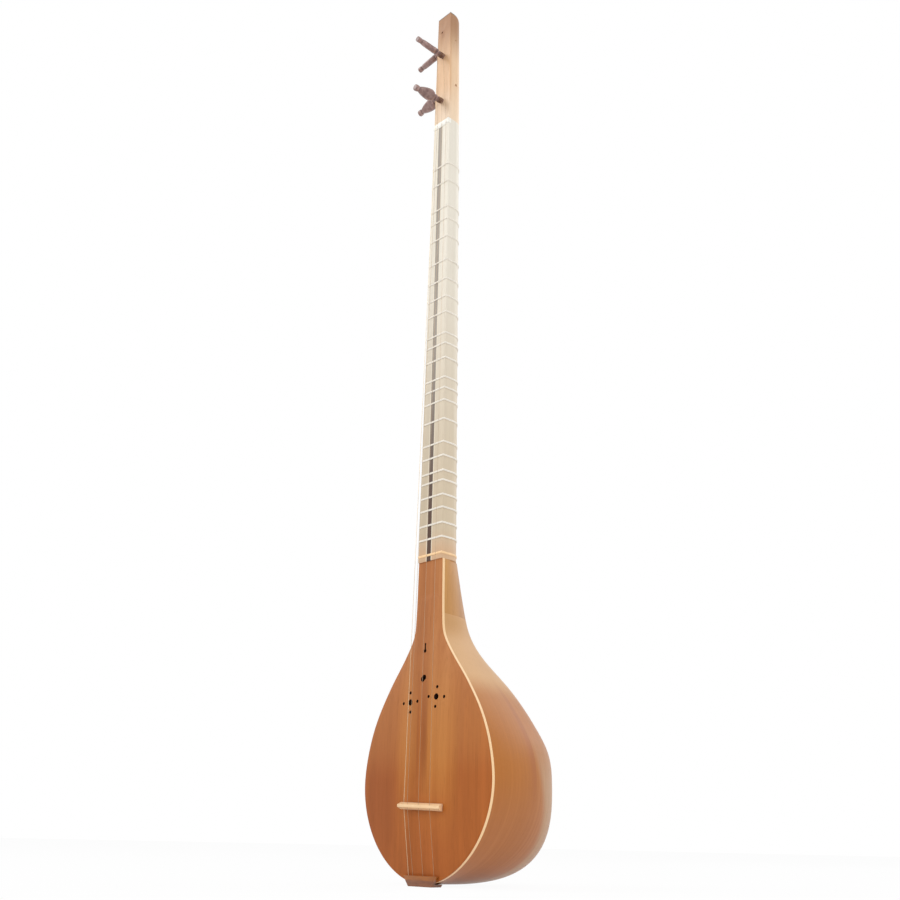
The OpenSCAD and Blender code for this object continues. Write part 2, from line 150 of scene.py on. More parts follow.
# Distance between a coil's outside and the middle of the string that runs past it
STRING_CLEARANCE = 0.275
# Radians of the bass string's wrapping in a metre of its length
BASS_WRAPPING = 30000
# Diameters of the sound holes. A flower is one large hole with small ones on its four sides
LARGE_HOLE = 5
TWIN_HOLE = 4.5
SMALL_HOLE = 2.6
# Place across, height and turn of each flower, and the reach of its small holes across and up
FLOWERS = ((-15.6, 138, 2), (15, 140.3, -5))
FLOWER_REACH = (8.7, 7.7)
# Place across and height of each twin hole
TWIN_HOLES = ((-1.3, 155.5), (0.3, 156.7))
# Height and diameter of the two round ends of the drop, and the width of the slot between them
DROP_HOLES = ((178.3, 3.2), (183.9, 1.8))
SLOT_WIDTH = 1.5

# ---- camera --------------------------------------------------------------------------------------

# Its place in metres and the directions of its right and its upper side
CAMERA_PLACE = (0.62504, -0.57232, 0.03002)
CAMERA_RIGHT = (0.69326661, 0.72041058, 0.01974825)
CAMERA_UP = (0.24597375, -0.26228485, 0.93311498)
# In millimetres
SENSOR_WIDTH = 36
FOCAL_LENGTH = 41.0736


# ---- shape of the instrument ---------------------------------------------------------------------

def mix(a, b, t):
    return a + (b - a) * t


def station(z, column):
    """Smooth curve through a column of the stations, level at the first one."""
    last = len(STATIONS) - 1
    i = min(sum(1 for s in STATIONS if s[0] <= z), last) - 1

    def slope(k):
        if k == 0:
            return 0
        j = min(k + 1, last)
        return (STATIONS[j][column] - STATIONS[k - 1][column]) / (STATIONS[j][0] - STATIONS[k - 1][0])

    h = STATIONS[i + 1][0] - STATIONS[i][0]
    t = (z - STATIONS[i][0]) / h
    return (
        (2 * t**3 - 3 * t**2 + 1) * STATIONS[i][column]
        + (t**3 - 2 * t**2 + t) * h * slope(i)
        + (3 * t**2 - 2 * t**3) * STATIONS[i + 1][column]
        + (t**3 - t**2) * h * slope(i + 1)
    )


def rounded(z, top, power):
    """Share of its full size that the bowl keeps where a superellipse rounds it off towards the tail."""
    return max(0, 1 - max(0, (top - z) / (top - TAIL_Z)) ** power) ** (1 / power)


def half_width(z):
    return STATIONS[0][1] * rounded(z, BELLY_Z, ROUND_WIDTH) if z < BELLY_Z else station(z, 1)


def depth(z):
    """How far back the bowl's deepest line lies."""
    return bowl_point(z, 0.5).y


def inset_half_width(z):
    """Half width behind the rebate that holds the binding."""
    h = min(0.5, (z - TAIL_Z) * 0.3)
    grade = (half_width(z + h) - half_width(z - h)) / (2 * h)
    return max(0.6 * half_width(z), half_width(z) - BINDING_THICK * math.sqrt(1 + grade * grade))


def bowl_point(z, k, inward=0):
    """Point on the bowl for k from 0 at the right rim to 1 at the left rim.

    Each meridian below the belly has a roundness between those of the rim and of the middle. Inward
    moves the point towards the inside by so many millimetres.
    """
    low = z < BELLY_Z
    wide = STATIONS[0][1] if low else station(z, 1)
    deep = STATIONS[0][2] if low else station(z, 2)
    edge = rounded(z, BELLY_Z, ROUND_WIDTH) if low else 1
    first = math.asin(min(1, (RIM_Y / (deep * edge)) ** (SECTION_POWER / 2)))
    t = mix(first, math.pi - first, k)
    out = math.cos(t) / math.cos(first)
    back = max(0, 1 - out * out)
    size = rounded(z, mix(BELLY_Z, DEEP_Z, back), mix(ROUND_WIDTH, ROUND_DEPTH, back)) if low else 1
    x = wide * size * math.copysign(abs(out) ** (2 / SECTION_POWER), out)
    y = deep * size * math.sin(t) ** (2 / SECTION_POWER)
    if inward:
        x *= 1 - inward / half_width(z)
        y = RIM_Y + (y - RIM_Y) * (1 - inward / depth(z))
    return Vector((x, max(RIM_Y, y), z))


def rise(z, x):
    """How far the soundboard's front stands forward of its edge."""
    u = min(1, max(0, (z - DOME_START_Z) / (DOME_END_Z - DOME_START_Z)))
    return DOME * math.sqrt(max(0, math.sin(math.pi * u))) * max(0, 1 - (x / half_width(z)) ** 2)


def heights(low_rows, high_rows, top):
    """Rows that lie closer together where the bowl rounds off at the tail."""
    crowding = 2.6
    span = BELLY_Z - TAIL_Z
    first = ((FLOOR_OF_BOWL_Z - TAIL_Z) / span) ** (1 / crowding)
    low = [TAIL_Z + span * mix(first, 1, i / low_rows) ** crowding for i in range(low_rows)]
    return low + [mix(BELLY_Z, top, i / high_rows) for i in range(high_rows + 1)]


def neck_half(z):
    return mix(*NECK_HALF, (z - JOINT_Z) / (HEAD_Z - JOINT_Z))


def neck_side(z):
    return mix(*NECK_SIDE, (z - JOINT_Z) / (HEAD_Z - JOINT_Z))


def head_half(z):
    return mix(NECK_HALF[1], HEAD_HALF_TOP, (z - HEAD_Z) / (HEAD_TOP_Z - HEAD_Z))


def neck_outline(z, grow):
    """Closed outline round the neck from the middle of its front, grown by a margin."""
    half = neck_half(z) + grow
    front = FRONT_Y - grow
    centre = FRONT_Y + neck_side(z)
    corner = 0.9
    right = [(half * 0.5, front)]
    for i in range(5):
        a = math.radians(-90 + 22.5 * i)
        right.append((half - corner + corner * math.cos(a), front + corner + corner * math.sin(a)))
    right.append((half, mix(front, centre, 0.6)))
    angles = [math.pi * i / 24 for i in range(25)]
    back = [(half * math.cos(a), centre + half * math.sin(a)) for a in angles]
    left = [(-x, y) for x, y in reversed(right)]
    return [(0, front)] + right + back + left


def fret_height(cents):
    """Height of a fret that raises the open string by so many cents."""
    return BRIDGE_Z + SCALE_LENGTH * 2 ** (-cents / 1200)


def leaf_radius(t):
    """Half width of a peg's leaf at a share of its length."""
    if t < LEAF_WIDEST:
        swell = math.sin(math.pi / 2 * t / LEAF_WIDEST)
    else:
        swell = math.cos(math.pi / 2 * (t - LEAF_WIDEST) / (1 - LEAF_WIDEST)) ** 0.8
    return mix(WAIST_RADIUS, LEAF_RADIUS, swell)


def side_face(peg):
    """Where a side peg's axis comes out of the head."""
    half = head_half(peg["height"])
    return Vector((-half, peg["across"], peg["height"] - half * math.tan(peg["slant"])))


def peg_place(peg):
    """Matrix that lays a piece along +Z onto a peg, in millimetres."""
    if peg["front"]:
        turn = Matrix.Rotation(math.radians(90) + peg["slant"], 4, "X")
        return Matrix.Translation((peg["across"], FRONT_Y, peg["height"])) @ turn
    turn = Matrix.Rotation(math.radians(-90) - peg["slant"], 4, "Y")
    return Matrix.Translation(side_face(peg)) @ turn


# ---- modelling helpers ---------------------------------------------------------------------------

def deselect():
    if bpy.context.object and bpy.context.object.mode != "OBJECT":
        bpy.ops.object.mode_set(mode="OBJECT")
    bpy.ops.object.select_all(action="DESELECT")


def activate(piece):
    deselect()
    piece.select_set(True)
    bpy.context.view_layer.objects.active = piece


def label(piece, name):
    piece.name = name
    piece.data.name = name
    return piece


def smooth(piece, angle=SMOOTH_ANGLE):
    activate(piece)
    bpy.ops.object.shade_smooth_by_angle(angle=angle)
    return piece


def bend_grid(name, rings, ends=True):
    """A grid rolled into a closed skin through rings of points, then closed at both ends."""
    around = len(rings[0])
    along = len(rings) - 1
    deselect()
    bpy.ops.mesh.primitive_grid_add(x_subdivisions=around, y_subdivisions=along, size=2)
    piece = label(bpy.context.object, name)
    for v in piece.data.vertices:
        column = round((v.co.x + 1) / 2 * around) % around
        row = round((v.co.y + 1) / 2 * along)
        v.co = Vector(rings[row][column]) * MM
    bpy.ops.object.mode_set(mode="EDIT")
    bpy.ops.mesh.select_all(action="SELECT")
    bpy.ops.mesh.remove_doubles(threshold=1e-7)
    if ends:
        for ring in (rings[0], rings[-1]):
            close_end(piece, ring)
    bpy.ops.mesh.select_mode(type="VERT")
    bpy.ops.mesh.select_all(action="SELECT")
    bpy.ops.mesh.normals_make_consistent(inside=False)
    bpy.ops.object.mode_set(mode="OBJECT")
    return smooth(piece)


def close_end(piece, ring):
    """Fill one open end of a rolled grid, which is in Edit mode."""
    bpy.ops.mesh.select_mode(type="VERT")
    bpy.ops.mesh.select_all(action="DESELECT")
    bpy.ops.object.mode_set(mode="OBJECT")
    edge = {tuple(round(c * 1e3) for c in p) for p in ring}
    for v in piece.data.vertices:
        v.select = tuple(round(c / MM * 1e3) for c in v.co) in edge
    bpy.ops.object.mode_set(mode="EDIT")
    bpy.ops.mesh.fill(use_beauty=True)


def copy_node(node, name, bevel=0.0, segments=0):
    """A merged copy of a frame node with its sharp edges eased."""
    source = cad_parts[node]
    piece = source.copy()
    piece.data = source.data.copy()
    piece.animation_data_clear()
    piece.parent = None
    piece.matrix_world = Matrix.Identity(4)
    label(piece, name)
    piece.data.materials.clear()
    bpy.context.scene.collection.objects.link(piece)
    activate(piece)
    bpy.ops.object.mode_set(mode="EDIT")
    bpy.ops.mesh.select_all(action="SELECT")
    bpy.ops.mesh.remove_doubles(threshold=2e-6)
    if bevel:
        bpy.ops.mesh.dissolve_limited(angle_limit=math.radians(1))
    bpy.ops.object.mode_set(mode="OBJECT")
    if bevel:
        ease = piece.modifiers.new("ease", "BEVEL")
        ease.width = bevel * MM
        ease.segments = segments
        ease.limit_method = "ANGLE"
        ease.angle_limit = math.radians(40)
        bpy.ops.object.modifier_apply(modifier=ease.name)
    return smooth(piece)


def wire(name, points, radius, sides=2):
    """A round wire or string along points in millimetres."""
    deselect()
    bpy.ops.curve.primitive_nurbs_path_add()
    curve = bpy.context.object.data
    curve.splines.clear()
    spline = curve.splines.new("POLY")
    spline.points.add(len(points) - 1)
    for target, p in zip(spline.points, points):
        target.co = (*(Vector(p) * MM), 1)
    curve.dimensions = "3D"
    curve.bevel_depth = radius * MM
    curve.bevel_resolution = sides
    curve.use_fill_caps = True
    bpy.ops.object.convert(target="MESH")
    return smooth(label(bpy.context.object, name), math.radians(60))


def join(pieces, name):
    activate(pieces[0])
    for other in pieces[1:]:
        other.select_set(True)
    bpy.ops.object.join()
    return label(bpy.context.object, name)


def cover(piece, material):
    """Give a piece one material all over."""
    piece.data.materials.clear()
    piece.data.materials.append(material)


def settle(piece, slot, body, *nodes):
    """Give a piece its body and hide the frame nodes that it stands for. The slot is not used."""
    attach(piece, body)
    if nodes:
        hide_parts(*nodes)


def finish_piece(piece, material, slot, body, *nodes):
    """Cover a piece and settle it."""
    cover(piece, material)
    settle(piece, slot, body, *nodes)


def dress(node, material):
    """A frame node keeps its shape and takes a new material."""
    cover(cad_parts[node], material)


# ---- shader maths --------------------------------------------------------------------------------

def tone(red, green, blue):
    """Linear colour of a screen colour given from 0 to 255."""
    def linear(c):
        c /= 255
        return c / 12.92 if c <= 0.04045 else ((c + 0.055) / 1.055) ** 2.4
    return (linear(red), linear(green), linear(blue), 1)


class Level:
    """An output of a node that is used like a number in ordinary sums."""

    def __init__(self, nodes, socket):
        self.nodes = nodes
        self.socket = socket

    def calculate(self, operation, first, second):
        return self.nodes.node("ShaderNodeMath", {"operation": operation}, {0: first, 1: second})

    def __add__(self, other):
        return self.calculate("ADD", self, other)

    def __radd__(self, other):
        return self.calculate("ADD", other, self)

    def __sub__(self, other):
        return self.calculate("SUBTRACT", self, other)

    def __rsub__(self, other):
        return self.calculate("SUBTRACT", other, self)

    def __mul__(self, other):
        return self.calculate("MULTIPLY", self, other)

    def __rmul__(self, other):
        return self.calculate("MULTIPLY", other, self)

    def __truediv__(self, other):
        return self.calculate("DIVIDE", self, other)

    def fade(self, low, high):
        """0 below low, 1 above high and smooth between."""
        return self.nodes.node(
            "ShaderNodeMapRange", {"interpolation_type": "SMOOTHSTEP"},
            {"Value": self, "From Min": low, "From Max": high},
        )


class Nodes:
    """A tree of nodes and the ways to add to it."""

    def __init__(self, tree):
        self.tree = tree

    def node(self, kind, settings, inputs, output=0):
        made = self.tree.nodes.new(kind)
        for key, value in settings.items():
            if key == "stops":
                ramp = made.color_ramp
                while len(ramp.elements) < len(value):
                    ramp.elements.new(0.5)
                for element, (position, colour) in zip(ramp.elements, value):
                    element.position = position
                    element.color = colour
            else:
                setattr(made, key, value)
        for key, value in inputs.items():
            self.feed(made.inputs[key], value)
        return Level(self, made.outputs[output])

    def feed(self, socket, value):
        if isinstance(value, Level):
            self.tree.links.new(value.socket, socket)
        else:
            socket.default_value = value

    def direct(self):
        """1 for what the camera sees straight, mirrored or through clear matter, and 0 for soft light."""
        rays = ("Is Camera Ray", "Is Glossy Ray", "Is Transmission Ray")
        straight, mirrored, through = (self.node("ShaderNodeLightPath", {}, {}, ray) for ray in rays)
        return self.node("ShaderNodeMath", {"operation": "MINIMUM"}, {0: straight + mirrored + through, 1: 1})


class Finish(Nodes):
    """A material and the nodes that make it."""

    def __init__(self, name, roughness=0.45, coat=0.0, coat_roughness=0.15, metallic=0.0):
        self.material = bpy.data.materials.new(name)
        self.material.use_nodes = True
        super().__init__(self.material.node_tree)
        self.shader = self.tree.nodes["Principled BSDF"]
        self.set("Roughness", roughness).set("Metallic", metallic)
        self.set("Coat Weight", coat).set("Coat Roughness", coat_roughness)
        self.place = self.node("ShaderNodeTexCoord", {}, {}, "Object")

    def set(self, name, value):
        self.feed(self.shader.inputs[name], value)
        return self

    def blend(self, factor, first, second):
        """A mix of two colours."""
        return self.node("ShaderNodeMix", {"data_type": "RGBA"}, {0: factor, 6: first, 7: second}, 2)

    def ramp(self, value, *stops):
        return self.node("ShaderNodeValToRGB", {"stops": stops}, {"Fac": value})

    def tones(self, value, places, *colours):
        """A ramp with a screen colour at each of its places."""
        return self.ramp(value, *((place, tone(*colour)) for place, colour in zip(places, colours)))

    def chart(self):
        """The piece's own UV map."""
        return self.node("ShaderNodeTexCoord", {}, {}, "UV")

    def axis(self, name, source=None):
        return self.node("ShaderNodeSeparateXYZ", {}, {"Vector": source or self.place}, name)

    def noise(self, cells, detail, roughness, distortion=0.0, source=None):
        """Noise with so many cells in a metre along X, Y and Z."""
        place = self.node("ShaderNodeMapping", {}, {"Vector": source or self.place, "Scale": cells})
        return self.node("ShaderNodeTexNoise", {}, {
            "Vector": place, "Scale": 1, "Detail": detail, "Roughness": roughness, "Distortion": distortion,
        })

    def done(self, colour, roughness, height, strength, distance=0.0002):
        """Set what changes over the surface, with bumps of a height and strength, and give the material."""
        bumps = {"Height": height, "Strength": strength, "Distance": distance}
        self.set("Base Color", colour).set("Roughness", roughness)
        self.set("Normal", self.node("ShaderNodeBump", {}, bumps, "Normal"))
        return self.material


def shade(colour, amount):
    """A colour made darker or lighter."""
    return tuple(min(1, c * amount) for c in colour[:3]) + (1,)


def spread(colour, low, high):
    """Deep, middle and light tones of a wood."""
    return shade(colour, low), shade(colour, 1), shade(colour, high)


def hump(place, middle, reach):
    """1 at a place and 0 further from it than its reach."""
    away = (place - middle) / reach
    return (1 - away * away).fade(0, 1)


def wood(name, deep, middle, light, bands=120.0, along=4.0, pores=0.5, contrast=1.0, patches=0.5,
         roughness=0.42, coat=0.1, specular=0.3, vector=None, grade=None, bump=0.12):
    """Wood whose grain runs along Z: growth bands, fine fibres, pores and slow patches of tone.

    bands and along are the numbers of cells of its noise in a metre across and along the grain.
    """
    finish = Finish(name, roughness, coat, 0.25)
    finish.set("Specular IOR Level", specular)
    place = vector(finish) if vector else finish.place
    band = finish.noise((bands, bands, along), 4, 0.55, 0.35, place)
    fibre = finish.noise((bands * 9, bands * 9, along * 5), 3, 0.6, source=place)
    patch = finish.noise((14, 14, 7), 2, 0.5, source=place)
    pore = finish.noise((bands * 14, bands * 14, along * 22), 1, 0.5, source=place).fade(0.60, 0.72) * pores
    grain = (band - 0.5) * contrast + (fibre - 0.5) * 0.35 * contrast + 0.5 + (patch - 0.5) * patches
    colour = finish.ramp(grain, (0.22, deep), (0.5, middle), (0.78, light))
    if grade:
        colour = grade(finish, colour, grain)
    colour = finish.blend(pore * 0.55, colour, shade(deep, 0.45))
    dull = (grain - 0.5) * -0.12 + pore * 0.2 + roughness
    return finish.done(colour, dull, fibre * 0.6 - pore, bump)


def plain_wood(name, colour, contrast=0.8, roughness=0.42, coat=0.08):
    return wood(name, *spread(colour, 0.76, 1.15), bands=260, along=8, pores=0.3, contrast=contrast,
                roughness=roughness, coat=coat, bump=0.08)


# ---- materials of the pieces, with places in metres ----------------------------------------------

def bowl_wood(colours, number):
    """Golden wood that turns more orange, then pinkish brown towards the tail, with fine dark pores.

    The second and third staves from each rim are paler below the belly, where a reflection is painted, and
    the first is painted redder beside it as shade.
    """
    def grade(finish, colour, grain):
        height = finish.axis("Z")
        stops = (0.2, 0.5, 0.8)
        low = finish.tones(grain, stops, (168, 102, 56), (181, 115, 66), (194, 128, 76))
        high = finish.tones(grain, stops, (180, 118, 54), (192, 130, 63), (202, 142, 74))
        colour = finish.blend(height.fade(0.035, 0.095), low, colour)
        colour = finish.blend(height.fade(0.11, 0.2), colour, high)
        colour = finish.blend(height.fade(0.138, 0.16), colour, tone(214, 166, 112))
        colour = finish.blend(height.fade(0.182, 0.2), colour, tone(204, 156, 104))
        across = finish.axis("X", finish.chart())
        across = across if number < STAVE_COUNT / 2 else STAVE_SHARE - across
        order = min(number, STAVE_COUNT + 1 - number)
        if order in (2, 3):
            # The painted pale reflection starts nearer the rim as it rises, and fades out across the third
            # stave
            pale = finish.tones(grain, (0.2, 0.8), (178, 134, 94), (200, 156, 116))
            place = across + (order - 2) * STAVE_SHARE
            inner = (place + (height - 0.1) * 3.6).fade(-0.05, 0.09)
            outer = 1 - place.fade(0.8 * STAVE_SHARE, 1.9 * STAVE_SHARE)
            colour = finish.blend((1 - height.fade(0.07, 0.125)) * inner * outer * 0.95, colour, pale)
        if order == 1:
            # Painted shade: a darker, redder band on the first stave beside its seam with the second
            beside = hump(across, STAVE_SHARE, 0.12) * hump(height, 0.105, 0.055)
            colour = finish.blend(beside * 0.5, colour, tone(164, 90, 40))
        return colour

    def along_stave(finish):
        """The stave's own map, turned and moved so that each stave is cut from another board."""
        return finish.node("ShaderNodeMapping", {}, {
            "Vector": finish.chart(), "Scale": (0.10, 0.10, 0.25),
            "Location": (1.7 * number, 1.2 * number, 2.2 * number), "Rotation": (math.radians(90), 0, 0),
        })

    return wood(f"bowl_varnished_wood_{number}", *spread(colours.bowl, 0.86, 1.12), bands=300, along=16,
                pores=0.4, contrast=0.55, patches=0.12, roughness=0.38, coat=0.1, specular=0.15, grade=grade,
                vector=along_stave, bump=0.05)


def throat_wood():
    """The bowl's golden wood, browner at its back."""
    def grade(finish, colour, grain):
        back = finish.axis("Y").fade(0.012, 0.03)
        warm = finish.tones(grain, (0.3, 0.7), (150, 96, 48), (176, 118, 64))
        return finish.blend(back * 0.5, colour, warm)

    return wood("throat_wood", tone(182, 126, 64), tone(198, 142, 75), tone(210, 156, 88), bands=200, along=8,
                pores=0.35, contrast=0.7, patches=0.3, roughness=0.36, coat=0.15, grade=grade, bump=0.05)


def soundboard_wood(colours):
    """Orange-brown wood in soft straight bands: golden beside the middle, redder between and at the sides.

    It is darker low on the left, has thin dark streaks about the belly and is paler towards the neck.
    """
    def grade(finish, colour, grain):
        across = finish.axis("X") + (grain - 0.5) * 0.006
        height = finish.axis("Z")
        stops = (0.2, 0.5, 0.8)
        gold = finish.tones(grain, stops, (170, 100, 40), (188, 117, 52), (203, 136, 68))
        golden = hump(across, 0.018, 0.026) + hump(across, -0.017, 0.016) * 0.75
        colour = finish.blend(golden * height.fade(0.02, 0.1) * 0.85, colour, gold)
        left = hump(across, -0.055, 0.032) * hump(height, 0.085, 0.085)
        colour = finish.blend(left * 0.55, colour, tone(152, 82, 42))
        middle = hump(height, 0.122, 0.06)
        for place, reach, amount in ((0.0025, 0.0055, 0.6), (-0.0055, 0.0022, 0.35), (0.043, 0.0035, 0.25)):
            streak = hump(across, place, reach) * middle
            colour = finish.blend(streak * amount, colour, tone(140, 74, 36))
        top = finish.tones(grain, stops, (164, 102, 60), (182, 118, 73), (198, 136, 88))
        light = hump(height, 0.132, 0.055) * (1 - hump(across, 0.001, 0.013))
        colour = finish.blend(light * 0.3, colour, tone(200, 138, 82))
        return finish.blend(height.fade(0.1, 0.19) * 0.8, colour, top)

    return wood("soundboard_wood", *spread(colours.soundboard, 0.8, 1.2), bands=130, along=2.2, pores=0.35,
                contrast=0.8, patches=0.3, roughness=0.5, coat=0.03, specular=0.15, grade=grade, bump=0.08)


def neck_wood(colours, name, dull=0.0):
    """Beige wood that grows nearly white towards the nut and a little peach at the body."""
    def grade(finish, colour, grain):
        height = finish.axis("Z")
        pale = finish.tones(grain, (0.25, 0.5, 0.8), (228, 220, 204), (236, 229, 214), (243, 237, 224))
        peach = finish.tones(grain, (0.25, 0.8), (206, 158, 116), (226, 184, 142))
        colour = finish.blend(height.fade(0.26, 0.62), colour, pale)
        return finish.blend((1 - height.fade(0.258, 0.285)) * 0.7, colour, peach)

    base = shade(colours.neck, 1 - dull)
    return wood(name, *spread(base, 0.88, 1.06), bands=220, along=5, pores=0.2, contrast=0.6,
                patches=0.25, roughness=0.45, coat=0.08, grade=grade, bump=0.05)


def strip_wood():
    """Dark wood that fades to grey up the neck."""
    def grade(finish, colour, grain):
        grey = finish.tones(grain, (0.25, 0.8), (138, 128, 116), (172, 162, 150))
        return finish.blend(finish.axis("Z").fade(0.27, 0.5), colour, grey)

    return wood("strip_wood", tone(66, 42, 30), tone(80, 54, 40), tone(94, 68, 52), bands=400, along=8,
                pores=0.3, roughness=0.45, grade=grade, bump=0.08)


def head_wood(colours):
    """Orange-beige wood, browner towards the top, with a small knot beside the hanging hole."""
    def grade(finish, colour, grain):
        height = finish.axis("Z")
        back = finish.axis("Y")
        brown = finish.tones(grain, (0.25, 0.5, 0.8), (152, 104, 68), (164, 116, 78), (176, 130, 90))
        pale = finish.tones(grain, (0.25, 0.8), (236, 208, 178), (246, 222, 194))
        colour = finish.blend(height.fade(0.71, 0.76), pale, colour)
        colour = finish.blend(back.fade(0.0, 0.003) * 0.45, colour, tone(250, 222, 188))
        colour = finish.blend(height.fade(0.778, 0.835) * 0.92, colour, brown)
        knot = hump(height, 0.823, 0.007) * hump(finish.axis("X"), -0.0015, 0.0032)
        knot = knot * (1 - back.fade(-0.001, 0.002))
        return finish.blend(knot * 0.4, colour, tone(150, 98, 62))

    return wood("head_wood", *spread(colours.head, 0.86, 1.08), bands=130, along=5, pores=0.25, contrast=0.55,
                patches=0.3, roughness=0.42, coat=0.1, grade=grade, bump=0.06)


def bridge_wood():
    """Pale wood with painted shade that makes it a little darker at the foot."""
    def grade(finish, colour, grain):
        height = finish.axis("Y") * -1
        # Painted shade: darker tones low on the bridge, below its lit upper part
        foot = finish.tones(grain, (0.3, 0.7), (234, 196, 152), (246, 210, 170))
        return finish.blend(height.fade(0.0045, 0.0066), foot, colour)

    return wood("bridge_wood", tone(238, 194, 146), tone(250, 212, 165), tone(255, 224, 182), bands=120,
                along=120, pores=0.2, contrast=0.5, roughness=0.45, coat=0.05, grade=grade, bump=0.05)


def peg_wood():
    """Mauve-brown wood with painted shade in its grooves."""
    finish = Finish("peg_wood", 0.34, 0.3, 0.2)
    grain = finish.noise((260, 260, 260), 4, 0.6, 0.6)
    # Painted shade: the colour darkens where the surface is hollow or flat, as in the grooves, and stays
    # light on ridges
    edge = finish.node("ShaderNodeNewGeometry", {}, {}, "Pointiness").fade(0.46, 0.56)
    colour = finish.tones(grain, (0.3, 0.5, 0.75), (128, 94, 88), (160, 126, 118), (196, 162, 154))
    colour = finish.blend((1 - edge) * 0.6, colour, tone(66, 44, 42))
    return finish.done(colour, grain * 0.2 + 0.24, grain, 0.08)


def tailpiece_wood():
    """Golden-brown wood with a duller lower part."""
    finish = Finish("tailpiece_wood", 0.45, 0.1)
    grain = finish.noise((90, 400, 500), 4, 0.6, 0.4)
    upper = finish.tones(grain, (0.3, 0.7), (146, 84, 28), (179, 108, 40))
    lower = finish.tones(grain, (0.3, 0.7), (120, 72, 44), (148, 92, 56))
    colour = finish.blend(finish.axis("Z").fade(0.0038, 0.0052), lower, upper)
    return finish.done(colour, grain * 0.2 + 0.36, grain, 0.1)


def bone():
    """Ivory-coloured bone with faint streaks and a soft polish."""
    finish = Finish("nut_bone", 0.32, 0.1)
    streak = finish.noise((300, 300, 1500), 3, 0.5)
    colour = finish.tones(streak, (0.3, 0.7), (246, 242, 232), (255, 252, 244))
    return finish.done(colour, streak * 0.15 + 0.25, streak, 0.03)


def gut(colours, name="gut", amount=1.0):
    """Cream gut with fine, slightly darker flecks."""
    finish = Finish(name, 0.4, 0.15)
    strand = finish.noise((700, 700, 1800), 3, 0.6)
    base = shade(colours.gut, amount)
    colour = finish.ramp(strand, (0.28, shade(base, 0.94)), (0.6, base))
    return finish.done(colour, strand * 0.2 + 0.3, strand, 0.15, 0.0001)


def string_metal(name, colour, rough, wound=False):
    """Drawn wire, or wire wound along Z when wound is set."""
    finish = Finish(name, rough, metallic=1.0)
    streak = finish.noise((900, 900, 300), 2, 0.5)
    colour = finish.ramp(streak, (0.3, shade(colour, 0.8)), (0.7, colour))
    height, strength = streak, 0.04
    if wound:
        height = finish.node("ShaderNodeMath", {"operation": "SINE"}, {0: finish.axis("Z") * BASS_WRAPPING})
        strength = 0.3
    return finish.done(colour, streak * 0.15 + rough - 0.05, height, strength, 0.00005)


# ---- settings ------------------------------------------------------------------------------------

def length_property(name, description, value, low, high):
    return bpy.props.FloatProperty(
        name=name, description=description, default=value, min=low, max=high, unit="LENGTH", precision=5,
    )


class LuteSizes(bpy.types.PropertyGroup):
    gut_diameter: length_property(
        "Gut", "Diameter of the gut that the frets are tied with", 0.00056, 0.0003, 0.0008)
    gut_turns: bpy.props.IntProperty(
        name="Turns", description="Turns of gut in each fret", default=3, min=2, max=4)
    string_diameter: length_property("Strings", "Diameter of the plain strings", 0.00025, 0.0002, 0.0006)
    bass_diameter: length_property("Bass", "Diameter of the bass string", 0.00035, 0.0003, 0.0007)
    seam_depth: length_property(
        "Seams", "Depth of the joints between the bowl's staves", 0.00003, 0.0, 0.0003)


def colour_property(name, description, value):
    return bpy.props.FloatVectorProperty(
        name=name, description=description, default=value, subtype="COLOR", size=4, min=0, max=1,
    )


class LuteColours(bpy.types.PropertyGroup):
    bowl: colour_property("Bowl", "Varnished wood of the bowl at its middle", tone(184, 113, 46))
    soundboard: colour_property("Soundboard", "Wood of the soundboard", tone(174, 98, 44))
    neck: colour_property("Neck", "Wood of the neck near the body", tone(214, 196, 168))
    head: colour_property("Head", "Wood of the peg head", tone(226, 184, 142))
    binding: colour_property("Binding", "Wood of the edge binding and the neck's ring", tone(255, 216, 166))
    gut: colour_property("Frets", "Gut of the tied frets", tone(255, 248, 236))


# ---- pieces --------------------------------------------------------------------------------------

class LutePiece:
    """Shared settings of the operators that make the instrument."""

    bl_options = {"REGISTER", "UNDO"}

    @property
    def sizes(self):
        return bpy.context.scene.lute_sizes

    @property
    def colours(self):
        return bpy.context.scene.lute_colours


class LUTE_OT_bowl(LutePiece, bpy.types.Operator):
    """Bend the seven staves and the solid throat of the bowl"""

    bl_idname = "lute.bowl"
    bl_label = "Bowl"

    def execute(self, context):
        groove = self.sizes.seam_depth / MM
        rows = heights(44, 80, THROAT_Z)
        for i in range(STAVE_COUNT):
            rings = []
            for z in rows:
                thick = min(STAVE_THICK, half_width(z) * 0.3)
                outer = []
                inner = []
                for j in range(STAVE_STEPS + 1):
                    k = (i + j / STAVE_STEPS) / STAVE_COUNT
                    dip = groove if j in (0, STAVE_STEPS) and 0 < k < 1 else 0
                    outer.append(bowl_point(z, k, dip))
                    inner.append(bowl_point(z, k, thick))
                rings.append(outer + inner[::-1])
            piece = bend_grid(f"stave_skin_{i + 1}", rings)
            finish_piece(piece, bowl_wood(self.colours, i + 1), "bowl_wood", ROOT_BODY, f"stave_{i + 1}")
        self.throat()
        dress("tail_block", plain_wood("tail_block_wood", tone(120, 84, 54)))
        return {"FINISHED"}

    def throat(self):
        rings = []
        for i in range(31):
            z = mix(THROAT_Z, JOINT_Z, i / 30)
            rings.append([bowl_point(z, j / 48) for j in range(49)])
        piece = bend_grid("throat_skin", rings)
        finish_piece(piece, throat_wood(), "throat_wood", ROOT_BODY, "throat_block")


